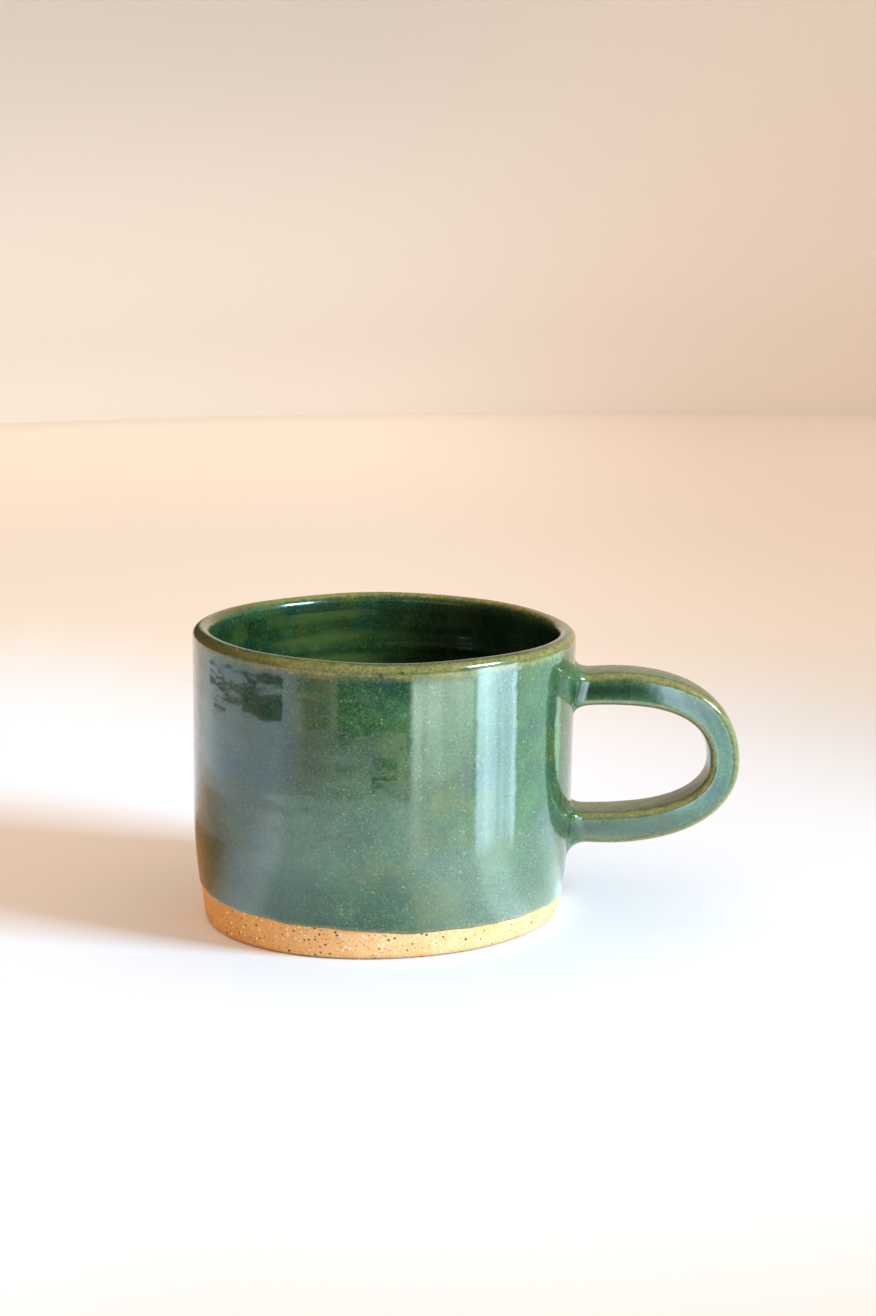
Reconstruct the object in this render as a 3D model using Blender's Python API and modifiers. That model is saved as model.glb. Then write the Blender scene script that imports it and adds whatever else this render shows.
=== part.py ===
"""A hand-thrown stoneware mug with a pulled strap handle, glazed all over but for its foot.

Metres, +Z up. The origin is the middle of the flat underside, and the handle points along +X.
Each piece is modelled upright and then leaned a little towards the handle by one lattice,
because the mug was cut from the wheel slightly out of square.
"""

import math

import bmesh
import bpy
from mathutils import Vector

MM = 0.001

# The thrown cup
HEIGHT = 73.8 * MM
RIM_RADIUS = 48.0 * MM
BELLY_RADIUS = 47.5 * MM
FOOT_TUCK = 2.5 * MM
FOOT_TUCK_HEIGHT = 25.0 * MM
WALL = 4.4 * MM
LIP_RADIUS = 2.2 * MM
FLOOR_TOP = 7.2 * MM
INNER_CORNER = 11.0 * MM
FOOT_CHAMFER = 1.2 * MM

# The glaze coats and the clearance between neighbouring pieces
GLAZE = 0.5 * MM
GAP = 0.3 * MM
GLAZE_LINE = 8.0 * MM
LIP_COAT_DROP = 2.0 * MM

# The pulled handle, seen along Y: heights of the two roots and the furthest point of its middle line
HANDLE_WIDTH = 13.5 * MM
HANDLE_THICKNESS = 7.9 * MM
HANDLE_CORNER = 1.6 * MM
UPPER_ROOT = 57.9 * MM
LOWER_ROOT = 23.1 * MM
HANDLE_REACH = 85.9 * MM
HANDLE_TIP_HEIGHT = 38.9 * MM
HANDLE_START = 43.5 * MM
TIP_THINNING = 0.13
FLARE = 0.5
FLARE_LENGTH = 5.0 * MM

# How far the rim leans over the foot towards the handle
LEAN = math.tan(math.radians(1.5))

SEGMENTS = 64
HANDLE_STATIONS = 32

CLAY_COLOUR = (0.62, 0.33, 0.13)
GREEN = (0.055, 0.13, 0.07)


def clear_scene():
    for obj in list(bpy.data.objects):
        bpy.data.objects.remove(obj, do_unlink=True)


def new_collection(name):
    collection = bpy.data.collections.new(name)
    bpy.context.scene.collection.children.link(collection)
    return collection


def make_material(name, colour, roughness):
    material = bpy.data.materials.new(name)
    material.use_nodes = True
    shader = material.node_tree.nodes["Principled BSDF"]
    shader.inputs["Base Color"].default_value = (*colour, 1.0)
    shader.inputs["Roughness"].default_value = roughness
    shader.inputs["Metallic"].default_value = 0.0
    return material


def link(obj, collection, colour=None, roughness=0.5):
    collection.objects.link(obj)
    if colour is not None:
        obj.data.materials.append(make_material(obj.name, colour, roughness))
    return obj


# ---------------------------------------------------------------- the cup's own curves

def outer_radius(z):
    """Radius of the glazed outside: nearly upright, tucking in over the lowest third."""
    upright = BELLY_RADIUS + (RIM_RADIUS - BELLY_RADIUS) * z / HEIGHT
    tuck = max(0.0, 1.0 - z / FOOT_TUCK_HEIGHT)
    return upright - FOOT_TUCK * tuck ** 1.5


def lip_centre():
    return RIM_RADIUS - LIP_RADIUS, HEIGHT - LIP_RADIUS


def outside(depth, top, bottom, steps):
    """Points down the outside, `depth` below the glaze's surface."""
    heights = [top + (bottom - top) * i / steps for i in range(steps + 1)]
    return [(outer_radius(z) - depth, z) for z in heights]


def inside(depth, top, steps, corner_steps):
    """Points down the inside and round its lower corner, `depth` below the liner's surface."""
    low = FLOOR_TOP + INNER_CORNER
    heights = [top + (low - top) * i / steps for i in range(steps + 1)]
    points = [(outer_radius(z) - WALL + depth, z) for z in heights]
    middle = outer_radius(low) - WALL - INNER_CORNER
    reach = INNER_CORNER + depth
    for i in range(1, corner_steps + 1):
        turn = math.radians(90.0 * i / corner_steps)
        points.append((middle + reach * math.cos(turn), low - reach * math.sin(turn)))
    return points


def over_lip(radius, first, last, steps):
    """Points over the lip from angle `first` to `last`, in degrees from the outward side."""
    x, z = lip_centre()
    points = []
    for i in range(steps + 1):
        turn = math.radians(first + (last - first) * i / steps)
        points.append((x + radius * math.cos(turn), z + radius * math.sin(turn)))
    return points


# ---------------------------------------------------------------- ways of making a piece

def turned(name, profile, collection, closed, colour=None, roughness=0.5):
    """A piece turned on the wheel: `profile` runs down its outer side, as (radius, height)."""
    mesh = bpy.data.meshes.new(name)
    count = len(profile)
    edges = [(i, i + 1) for i in range(count - 1)]
    if closed:
        edges.append((count - 1, 0))
    mesh.from_pydata([(r, 0.0, z) for r, z in profile], edges, [])
    obj = link(bpy.data.objects.new(name, mesh), collection, colour, roughness)
    screw = obj.modifiers.new("turn", "SCREW")
    screw.axis = "Z"
    screw.angle = math.tau
    screw.steps = SEGMENTS
    screw.render_steps = SEGMENTS
    screw.use_merge_vertices = True
    screw.merge_threshold = 0.00005
    screw.use_smooth_shade = True
    return obj


def handle_points():
    """The handle's middle line in the XZ plane: a flat-armed D of two Bezier spans."""
    upper = Vector((HANDLE_START, 0.0, UPPER_ROOT - 0.4 * MM))
    lower = Vector((HANDLE_START, 0.0, LOWER_ROOT + 0.4 * MM))
    tip = Vector((HANDLE_REACH, 0.0, HANDLE_TIP_HEIGHT))
    upper_pull = upper + Vector((43.0 * MM, 0.0, 5.2 * MM))
    lower_pull = lower + Vector((44.5 * MM, 0.0, -4.9 * MM))
    above = tip + Vector((0.0, 0.0, 2.5 * MM))
    below = tip - Vector((0.0, 0.0, 0.5 * MM))
    fine = bezier(upper, upper_pull, above, tip, 60) + bezier(tip, below, lower_pull, lower, 60)[1:]
    return evenly(fine, HANDLE_STATIONS)


def bezier(a, b, c, d, steps):
    points = []
    for i in range(steps + 1):
        t = i / steps
        s = 1.0 - t
        points.append(a * s ** 3 + b * 3 * s * s * t + c * 3 * s * t * t + d * t ** 3)
    return points


def evenly(points, count):
    """Points along a line: close together in the flares at both ends, and even between them."""
    lengths = [0.0]
    for a, b in zip(points, points[1:]):
        lengths.append(lengths[-1] + (b - a).length)
    total = lengths[-1]
    flare_end = RIM_RADIUS - HANDLE_START + FLARE_LENGTH
    near = [flare_end * i / 7 for i in range(8)]
    middle = [flare_end + (total - 2 * flare_end) * i / (count - 15) for i in range(1, count - 15)]
    far = [total - s for s in reversed(near)]
    result = []
    for target in near + middle + far:
        k = max(i for i, length in enumerate(lengths) if length <= target + 1e-9)
        k = min(k, len(points) - 2)
        part = (target - lengths[k]) / (lengths[k + 1] - lengths[k])
        result.append(points[k].lerp(points[k + 1], part))
    return result


def flare_at(x):
    """How much wider the handle is this far out: a cove that swells to meet the wall."""
    out = (x - outer_radius(UPPER_ROOT)) / FLARE_LENGTH
    out = min(1.0, max(0.0, out))
    return 1.0 + FLARE * (1.0 - math.sqrt(1.0 - (1.0 - out) ** 2))


def thinning_at(x):
    """The strap is a little thinner round its far bend."""
    share = (x - RIM_RADIUS) / (HANDLE_REACH - RIM_RADIUS)
    share = min(1.0, max(0.0, share))
    return 1.0 - TIP_THINNING * share ** 3


def strap_section(name, inset, collection):
    """A rounded rectangle for the handle's section, `inset` below the glaze's surface."""
    half_width = HANDLE_WIDTH / 2 - inset
    half_thick = HANDLE_THICKNESS / 2 - inset
    corner = max(0.6 * MM, HANDLE_CORNER - inset * 0.6)
    curve = bpy.data.curves.new(name, "CURVE")
    curve.dimensions = "2D"
    spline = curve.splines.new("POLY")
    points = []
    for quarter, (sx, sy) in enumerate(((1, 1), (-1, 1), (-1, -1), (1, -1))):
        for i in range(3):
            turn = math.radians(90.0 * quarter + 45.0 * i)
            x = sx * (half_width - corner) + corner * math.cos(turn)
            y = sy * (half_thick - corner) + corner * math.sin(turn)
            points.append((x, y))
    spline.points.add(len(points) - 1)
    for point, (x, y) in zip(spline.points, points):
        point.co = (x, y, 0.0, 1.0)
    spline.use_cyclic_u = True
    obj = bpy.data.objects.new(name, curve)
    collection.objects.link(obj)
    obj.hide_render = True
    return obj


def swept(name, inset, collection, helpers, flared, capped, colour=None, roughness=0.5):
    """The handle's section swept along its middle line, as a mesh."""
    section = strap_section(name + "_section", inset, helpers)
    curve = bpy.data.curves.new(name + "_line", "CURVE")
    curve.dimensions = "3D"
    curve.twist_mode = "MINIMUM"
    curve.bevel_mode = "OBJECT"
    curve.bevel_object = section
    curve.use_fill_caps = capped
    line = handle_points()
    spline = curve.splines.new("POLY")
    spline.points.add(len(line) - 1)
    for point, place in zip(spline.points, line):
        point.co = (*place, 1.0)
        point.radius = thinning_at(place.x) * (flare_at(place.x) if flared else 1.0)
    guide = bpy.data.objects.new(name + "_line", curve)
    helpers.objects.link(guide)
    bpy.context.view_layer.update()
    graph = bpy.context.evaluated_depsgraph_get()
    mesh = bpy.data.meshes.new_from_object(guide.evaluated_get(graph))
    bpy.data.objects.remove(guide, do_unlink=True)
    bpy.data.objects.remove(section, do_unlink=True)
    mesh.name = name
    shape = bmesh.new()
    shape.from_mesh(mesh)
    bmesh.ops.remove_doubles(shape, verts=shape.verts, dist=0.00001)
    bmesh.ops.recalc_face_normals(shape, faces=shape.faces)
    shape.to_mesh(mesh)
    shape.free()
    mesh.materials.clear()
    return link(bpy.data.objects.new(name, mesh), collection, colour, roughness)


def cut(obj, cutter, name):
    boolean = obj.modifiers.new(name, "BOOLEAN")
    boolean.operation = "DIFFERENCE"
    boolean.solver = "EXACT"
    boolean.object = cutter


def keep(obj, other, name):
    boolean = obj.modifiers.new(name, "BOOLEAN")
    boolean.operation = "INTERSECT"
    boolean.solver = "EXACT"
    boolean.object = other


def as_cutter(obj):
    obj.hide_render = True
    obj.display_type = "WIRE"
    return obj


def make_lattice(collection):
    """The mug's lean: the foot stays flat, the rim moves out and drops on the handle's side."""
    data = bpy.data.lattices.new("lean")
    data.points_u = 2
    data.points_v = 2
    data.points_w = 2
    data.interpolation_type_u = "KEY_LINEAR"
    data.interpolation_type_v = "KEY_LINEAR"
    data.interpolation_type_w = "KEY_LINEAR"
    lattice = bpy.data.objects.new("lean", data)
    collection.objects.link(lattice)
    half = 0.1
    lattice.location = (0.0, 0.0, HEIGHT / 2)
    lattice.scale = (2 * half, 2 * half, HEIGHT)
    for point in data.points:
        x = math.copysign(half, point.co.x)
        if point.co.z > 0:
            move = Vector((LEAN * HEIGHT / (2 * half), 0.0, -LEAN * x / HEIGHT))
            point.co_deform = Vector(point.co) + move
    return lattice


def lean(obj, lattice):
    modifier = obj.modifiers.new("lean", "LATTICE")
    modifier.object = lattice


# ---------------------------------------------------------------- the pieces

def make_clay_body(parts):
    """Wall and floor, thrown in one. A small step marks where the glaze stops."""
    under = GLAZE + GAP
    x, z = lip_centre()
    profile = [(0.0, FLOOR_TOP - under)]
    profile += list(reversed(inside(under, z, 5, 4)))
    profile += over_lip(LIP_RADIUS - under, 150.0, 30.0, 4)
    profile += outside(under, z - 1.0 * MM, GLAZE_LINE, 7)
    profile += outside(GAP, GLAZE_LINE - 0.6 * MM, FOOT_CHAMFER, 2)
    profile += [(outer_radius(0.0) - GAP - FOOT_CHAMFER, 0.0), (0.0, 0.0)]
    return turned("clay_body", profile, parts, False, CLAY_COLOUR, 0.85)


def make_outer_glaze(parts):
    top = HEIGHT - LIP_RADIUS - LIP_COAT_DROP
    low = GLAZE_LINE + GAP
    face = outside(0.0, top, low, 7)
    back = outside(GLAZE, top, low, 7)
    return turned("outer_glaze", face + back[::-1], parts, True, GREEN, 0.12)


def make_lip_glaze(parts):
    """The coat over the lip, where the outer and inner glazes were dipped over each other."""
    low = HEIGHT - LIP_RADIUS - LIP_COAT_DROP + GAP
    outer_edge = outer_radius(low)
    inner_edge = outer_edge - WALL
    face = [(inner_edge, low)] + over_lip(LIP_RADIUS, 180.0, 0.0, 6) + [(outer_edge, low)]
    back = [(outer_edge - GLAZE, low)] + over_lip(LIP_RADIUS - GLAZE, 0.0, 180.0, 6)
    back.append((inner_edge + GLAZE, low))
    return turned("lip_glaze", face + back, parts, True, (0.16, 0.15, 0.06), 0.15)


def make_liner_glaze(parts):
    top = HEIGHT - LIP_RADIUS - LIP_COAT_DROP
    back = [(0.0, FLOOR_TOP - GLAZE)] + list(reversed(inside(GLAZE, top, 5, 4)))
    face = inside(0.0, top, 5, 4) + [(0.0, FLOOR_TOP)]
    return turned("liner_glaze", face[::-1] + back[::-1], parts, False, GREEN, 0.12)


def make_wall_cutter(helpers):
    """The clay wall with its clearance: it trims the handle's pieces where they meet the cup."""
    profile = [(0.0, HEIGHT + 0.01)]
    profile += outside(GLAZE, HEIGHT + 0.01, 0.0, 8)
    profile += [(0.0, 0.0)]
    return as_cutter(turned("wall_cutter", profile, helpers, False))


def make_handle(parts, helpers, wall):
    under = GLAZE + GAP
    strap = swept("handle_strap", under, parts, helpers, False, True, CLAY_COLOUR, 0.85)
    cut(strap, wall, "meet the wall")
    coat = swept("handle_glaze", 0.0, parts, helpers, True, False, GREEN, 0.14)
    skin = coat.modifiers.new("coat thickness", "SOLIDIFY")
    skin.thickness = GLAZE
    skin.offset = -1.0
    skin.use_even_offset = True
    cut(coat, wall, "meet the wall")
    return strap, coat


def make_joint(name, parts, helpers, wall, strap_cutter, above):
    """The collar of soft clay worked round one root of the handle."""
    joint = swept(name, GLAZE + GAP, parts, helpers, True, True, CLAY_COLOUR, 0.85)
    middle = (UPPER_ROOT + LOWER_ROOT) / 2
    size = Vector((FLARE_LENGTH + 6 * MM, 40 * MM, 34 * MM))
    centre = Vector((46 * MM + size.x / 2 - 4 * MM, 0.0, middle + (17.4 * MM if above else -17.4 * MM)))
    box = box_cutter(name + "_reach", size, centre, helpers)
    keep(joint, box, "keep the root")
    cut(joint, wall, "meet the wall")
    cut(joint, strap_cutter, "room for the strap")
    return joint


def box_cutter(name, size, centre, helpers):
    bpy.ops.mesh.primitive_cube_add(size=1.0)
    obj = bpy.context.object
    obj.name = name
    for owner in list(obj.users_collection):
        owner.objects.unlink(obj)
    helpers.objects.link(obj)
    obj.scale = size
    obj.location = centre
    return as_cutter(obj)


def main():
    clear_scene()
    parts = new_collection("ceramic_mug")
    helpers = new_collection("cutters")
    wall = make_wall_cutter(helpers)
    body = make_clay_body(parts)
    outer = make_outer_glaze(parts)
    lip = make_lip_glaze(parts)
    liner = make_liner_glaze(parts)
    strap, coat = make_handle(parts, helpers, wall)
    window = as_cutter(swept("handle_window", -GAP, helpers, helpers, True, True))
    cut(outer, window, "leave the handle's roots")
    strap_cutter = as_cutter(swept("strap_cutter", GLAZE, helpers, helpers, False, True))
    upper = make_joint("upper_joint", parts, helpers, wall, strap_cutter, True)
    lower = make_joint("lower_joint", parts, helpers, wall, strap_cutter, False)
    lattice = make_lattice(helpers)
    for obj in (body, outer, lip, liner, strap, coat, upper, lower):
        lean(obj, lattice)


main()
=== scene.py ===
"""Visual model of the glazed stoneware mug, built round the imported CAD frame.

Metres, +Z up, the handle along +X. The thrown surfaces are laid out upright and then leaned
towards the handle, exactly as the CAD pieces are.
"""

import math

import bpy
import numpy as np
from mathutils import Matrix, Vector


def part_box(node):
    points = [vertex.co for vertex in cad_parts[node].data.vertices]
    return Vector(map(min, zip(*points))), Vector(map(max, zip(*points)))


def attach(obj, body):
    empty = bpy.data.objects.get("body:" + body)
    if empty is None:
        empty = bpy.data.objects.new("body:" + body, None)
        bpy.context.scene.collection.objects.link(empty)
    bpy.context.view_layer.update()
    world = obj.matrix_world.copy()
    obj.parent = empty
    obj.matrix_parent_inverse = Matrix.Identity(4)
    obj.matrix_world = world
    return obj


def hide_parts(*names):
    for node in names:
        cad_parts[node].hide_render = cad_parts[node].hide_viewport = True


MM = 0.001

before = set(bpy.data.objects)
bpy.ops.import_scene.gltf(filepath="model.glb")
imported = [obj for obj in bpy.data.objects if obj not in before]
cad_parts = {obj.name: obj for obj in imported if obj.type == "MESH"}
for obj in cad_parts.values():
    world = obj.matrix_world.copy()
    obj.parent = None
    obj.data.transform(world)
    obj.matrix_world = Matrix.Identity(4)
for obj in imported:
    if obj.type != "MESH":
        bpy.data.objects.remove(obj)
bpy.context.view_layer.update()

# ---------------------------------------------------------------- sizes
# The rim's radius and the height come from the CAD boxes; the others are the CAD part's own sizes.

LEAN = math.tan(math.radians(1.5))  # the cup leans towards its handle
RIM_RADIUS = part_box("lip_glaze")[1].y
LIP = 2.2 * MM
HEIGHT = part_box("lip_glaze")[1].z - LEAN * (RIM_RADIUS - LIP)
BELLY_RADIUS = RIM_RADIUS - 0.5 * MM
FOOT_TUCK = 2.5 * MM
FOOT_TUCK_HEIGHT = 25.0 * MM
WALL = 4.4 * MM
FLOOR_TOP = 7.2 * MM
INNER_CORNER = 11.0 * MM
COAT = 0.5 * MM
CLAY_INSET = 0.3 * MM
HANDLE_WIDTH = 13.5 * MM
HANDLE_THICKNESS = 7.9 * MM
UPPER_ROOT = 57.9 * MM
LOWER_ROOT = 23.1 * MM
HANDLE_REACH = 85.9 * MM
HANDLE_TIP_HEIGHT = 38.9 * MM
HANDLE_START = 43.5 * MM
TIP_THINNING = 0.13

THROWING_PITCH = 6.3 * MM

AROUND = 320  # points in every ring of the cup
THETA = np.arange(AROUND) * (math.tau / AROUND)


# ---------------------------------------------------------------- the thrown form

def outer_radius(z):
    """Radius of the outside, upright with a tuck over the lowest third."""
    z = np.asarray(z, float)
    tuck = np.clip(1.0 - z / FOOT_TUCK_HEIGHT, 0.0, None)
    return BELLY_RADIUS + (RIM_RADIUS - BELLY_RADIUS) * z / HEIGHT - FOOT_TUCK * tuck ** 1.5


def inner_radius(z):
    return outer_radius(z) - WALL


def hand(theta, z):
    """Unevenness of hand throwing, in metres of radius: slow lobes and faint ridges."""
    lobes = 0.10 * np.sin(2 * theta + 0.7) + 0.06 * np.sin(3 * theta + 2.1 + 30 * z)
    lobes += 0.05 * np.sin(5 * theta - 60 * z)
    ridges = 0.014 * np.sin(z / (2.6 * MM) + 1.7 * np.sin(theta + 0.4))
    ridges += 0.008 * np.sin(z / (0.9 * MM) + 2.3 * np.sin(theta + 2.0))
    return (lobes + ridges - 0.12) * MM


def rim_rise(theta):
    """The rim is not quite level: how far it rises or dips, in metres."""
    return (0.22 * np.cos(3 * (theta - 1.43)) + 0.08 * np.cos(7 * theta + 1.0) - 0.25) * MM


def glaze_line(theta):
    """Height where the outer glaze stops, a slightly wavering line over the bare foot."""
    line = 8.3 - 1.7 * np.cos(theta) + 0.7 * np.sin(theta)
    line += 0.16 * np.sin(6 * theta + 0.5) + 0.12 * np.sin(11 * theta + 2.0)
    line += 0.09 * np.sin(19 * theta)
    line += 0.05 * np.sin(37 * theta + 1.2)
    return line * MM


def lean(points):
    """The foot stays flat; the rim moves out and drops on the handle's side."""
    x, y, z = points[..., 0], points[..., 1], points[..., 2]
    return np.stack([x + LEAN * z, y, z - LEAN * x * z / HEIGHT], axis=-1)


def ring(radius, height):
    """One ring of points; radius and height may vary round it."""
    radius = np.broadcast_to(radius, THETA.shape)
    height = np.broadcast_to(height, THETA.shape)
    return np.stack([radius * np.cos(THETA), radius * np.sin(THETA), height], axis=-1)


def lifted(z):
    """Heights near the rim follow its rise and dip."""
    share = np.clip((np.asarray(z) - 0.5 * HEIGHT) / (0.5 * HEIGHT), 0.0, 1.0)
    return z + rim_rise(THETA) * share


# ---------------------------------------------------------------- mesh making

def grid_mesh(name, rings, closed_loop=False, start_pole=None, end_pole=None, sharp=40.0):
    """A tube of quads through the rings, joined end to start or closed by poles.

    Edges sharper than `sharp` degrees stay sharp in the smooth shading.
    """
    count = rings[0].shape[0]
    points = np.concatenate(rings)
    faces = []
    total = len(rings)
    last = total if closed_loop else total - 1
    for i in range(last):
        a, b = i * count, ((i + 1) % total) * count
        for j in range(count):
            k = (j + 1) % count
            faces.append((a + j, a + k, b + k, b + j))
    extra = []
    for pole, base in ((start_pole, 0), (end_pole, (total - 1) * count)):
        if pole is None:
            continue
        tip = len(points) + len(extra)
        extra.append(pole)
        for j in range(count):
            k = (j + 1) % count
            faces.append((tip, base + k, base + j) if base == 0 else (tip, base + j, base + k))
    if extra:
        points = np.concatenate([points, np.array(extra)])
    mesh = bpy.data.meshes.new(name)
    mesh.from_pydata(points.tolist(), [], faces)
    mesh.validate()
    mesh.shade_smooth()
    mesh.set_sharp_from_angle(angle=math.radians(sharp))
    obj = bpy.data.objects.new(name, mesh)
    bpy.context.scene.collection.objects.link(obj)
    return obj


def point_values(obj, name, values):
    """A number on every point, for the material to read."""
    attribute = obj.data.attributes.new(name, "FLOAT", "POINT")
    attribute.data.foreach_set("value", np.asarray(values, np.float32))


# ---------------------------------------------------------------- the glaze coats and the clay

LIP_LOW = HEIGHT - LIP - 2.0 * MM  # where the lip coat meets the outer and liner coats


def outer_rings(depth):
    """Rings from under the lip coat down to the glaze line, `depth` below the surface."""
    rings = []
    line = glaze_line(THETA)
    steps = 120
    for i in range(steps + 1):
        share = i / steps
        z = LIP_LOW + (line - LIP_LOW) * share
        radius = outer_radius(z) + hand(THETA, z) - depth
        rings.append(ring(radius, lifted(z)))
    return rings


def make_outer_coat():
    """The outside coat, with a soft roll where it ends above the bare clay.

    It is thin under the lip and at the glaze line, and has painted shade on the side away from the
    handle.
    """
    face = outer_rings(0.0)
    line = glaze_line(THETA)
    roll = []
    for turn in np.radians([20.0, 45.0, 70.0, 90.0]):
        z = line - 0.45 * MM * math.sin(turn)
        radius = outer_radius(z) + hand(THETA, z) - 0.42 * MM * (1.0 - math.cos(turn))
        roll.append(ring(radius, z))
    rings = face + roll + outer_rings(COAT)[::-10]
    obj = grid_mesh("outer_glaze_coat", [lean(r) for r in rings], closed_loop=True)
    height = np.concatenate([r[:, 2] for r in rings])
    line_all = np.tile(line, len(rings))
    below_lip = np.clip((height - LIP_LOW + 1.2 * MM) / (3.0 * MM), 0.0, 1.0)
    near_line = np.clip(1.0 - (height - line_all + 0.5 * MM) / (1.6 * MM), 0.0, 1.0)
    point_values(obj, "thin", np.maximum(0.62 * below_lip, 0.95 * near_line))
    # Painted shade: darker on the side away from the handle and the window light
    far_side = np.concatenate([-r[:, 0] for r in rings])
    point_values(obj, "pool_and_shade", 0.42 * np.clip((far_side - 6 * MM) / (24 * MM), 0.0, 1.0))
    return obj


def lip_arc(radius, first, last, steps):
    """Rings over the lip's crest, between two angles counted up from the outward side."""
    rings = []
    for i in range(steps + 1):
        turn = math.radians(first + (last - first) * i / steps)
        z = HEIGHT - LIP + radius * math.sin(turn)
        centre = outer_radius(HEIGHT - LIP) + hand(THETA, HEIGHT - LIP) - LIP
        rings.append(ring(centre + radius * math.cos(turn), lifted(z)))
    return rings


LIP_SIDE_RINGS = 6
LIP_ARC_STEPS = 26


def make_lip_coat():
    """The coat over the lip: thin, so the clay warms it to olive gold, with painted shade inside."""
    side_heights = np.linspace(LIP_LOW, HEIGHT - LIP, LIP_SIDE_RINGS + 1)[:-1]
    inner_side = [ring(inner_radius(z) + hand(THETA, z), lifted(z)) for z in side_heights]
    outer_side = [ring(outer_radius(z) + hand(THETA, z), lifted(z)) for z in side_heights[::-1]]
    outward = inner_side + lip_arc(LIP, 180.0, 0.0, LIP_ARC_STEPS) + outer_side
    back = [ring(outer_radius(LIP_LOW) + hand(THETA, LIP_LOW) - COAT, lifted(LIP_LOW))]
    back += lip_arc(LIP - COAT, 0.0, 180.0, 8)
    back += [ring(inner_radius(LIP_LOW) + hand(THETA, LIP_LOW) + COAT, lifted(LIP_LOW))]
    rings = outward + back
    obj = grid_mesh("lip_glaze_coat", [lean(r) for r in rings], closed_loop=True)
    values, depths = [], []
    after_arc = LIP_SIDE_RINGS + LIP_ARC_STEPS + 1
    for i in range(len(rings)):
        depths.append(np.full(AROUND, np.clip(1.0 - (i - 1) / 14, 0.0, 1.0)))
        if i < LIP_SIDE_RINGS:
            value = 0.12 * i / (LIP_SIDE_RINGS - 1)
        elif i < after_arc:
            turn = 180.0 - 180.0 * (i - LIP_SIDE_RINGS) / LIP_ARC_STEPS
            value = 0.12 + 0.80 * math.exp(-((turn - 112.0) / 33.0) ** 2)
            value = max(value, 0.88 * math.exp(-((turn - 32.0) / 36.0) ** 2) + 0.1)
            value -= 0.4 * math.exp(-((turn - 82.0) / 8.0) ** 2)
        else:
            value = max(0.2, 0.8 - 0.1 * (i - after_arc))
        values.append(np.full(AROUND, value))
    point_values(obj, "thin", np.concatenate(values))
    # Painted shade: the inside of the lip is darkened, most on the handle's side
    inside = np.concatenate(depths)
    spots = np.array([v.co for v in obj.data.vertices])
    point_values(obj, "pool_and_shade", 1.0 - (1.0 - 0.5 * inside) * (1.0 - inside * inside_shade(spots)))
    return obj


def inside_shade(points):
    """Painted shade inside the cup, by place: most on the handle's side, whose inner wall faces away from
    the window light.
    """
    return 0.88 * np.clip((points[:, 0] + 4 * MM) / (38 * MM), 0.0, 1.0)


def throwing_rings(z):
    """The soft spiral left by the thrower's fingers inside the cup."""
    phase = math.tau * z / THROWING_PITCH + THETA
    depth = 0.16 * np.sin(phase) + 0.06 * np.sin(2.3 * phase + 1.0 + 2.0 * np.sin(THETA))
    fade = np.clip((HEIGHT - 6 * MM - z) / (8 * MM), 0.0, 1.0)
    return depth * fade * MM


def liner_rings(depth):
    """Rings down the inside, round its lower corner and in over the floor."""
    rings = []
    low = FLOOR_TOP + INNER_CORNER
    for z in np.linspace(LIP_LOW, low, 100):
        radius = inner_radius(z) + hand(THETA, z) + depth + throwing_rings(z)
        rings.append(ring(radius, lifted(z)))
    middle = outer_radius(low) - WALL - INNER_CORNER
    reach = INNER_CORNER + depth
    for turn in np.radians(np.linspace(0.0, 90.0, 25)[1:]):
        z = low - reach * math.sin(turn)
        rough = (hand(THETA, low) + throwing_rings(low)) * math.cos(turn)
        rings.append(ring(middle + reach * math.cos(turn) + rough, z))
    for share in np.linspace(1.0, 0.0, 30)[1:-1]:
        radius = middle * share
        swirl = 0.22 * np.sin(math.tau * radius / (5.5 * MM) - THETA)
        swirl = swirl * min(1.0, radius / (6 * MM)) * MM * min(1.0, (1.0 - share) * 6)
        rings.append(ring(radius, FLOOR_TOP - depth + swirl))
    return rings


def make_liner_coat():
    """The coat inside: paler along the throwing rings, with painted light on the side away from the
    handle and painted shade towards it.
    """
    face = liner_rings(0.0)
    back = liner_rings(COAT)[::-6]
    pole = lean(np.array([0.0, 0.0, FLOOR_TOP]))
    back_pole = lean(np.array([0.0, 0.0, FLOOR_TOP - COAT]))
    rings = [lean(r) for r in back + face]
    obj = grid_mesh("liner_glaze_coat", rings, start_pole=back_pole, end_pole=pole)
    spots = np.array([v.co for v in obj.data.vertices])
    around = np.arctan2(spots[:, 1], spots[:, 0])
    bands = 0.62 + 0.22 * np.sin(math.tau * spots[:, 2] / THROWING_PITCH + around)
    # The pale bands follow the throwing rings; their gathering on the side away from the handle is
    # painted light
    point_values(obj, "thin", 1.15 * bands * np.exp(-((spots[:, 0] + 13 * MM) / (17 * MM)) ** 2))
    point_values(obj, "pool_and_shade", inside_shade(spots))
    return obj


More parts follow.
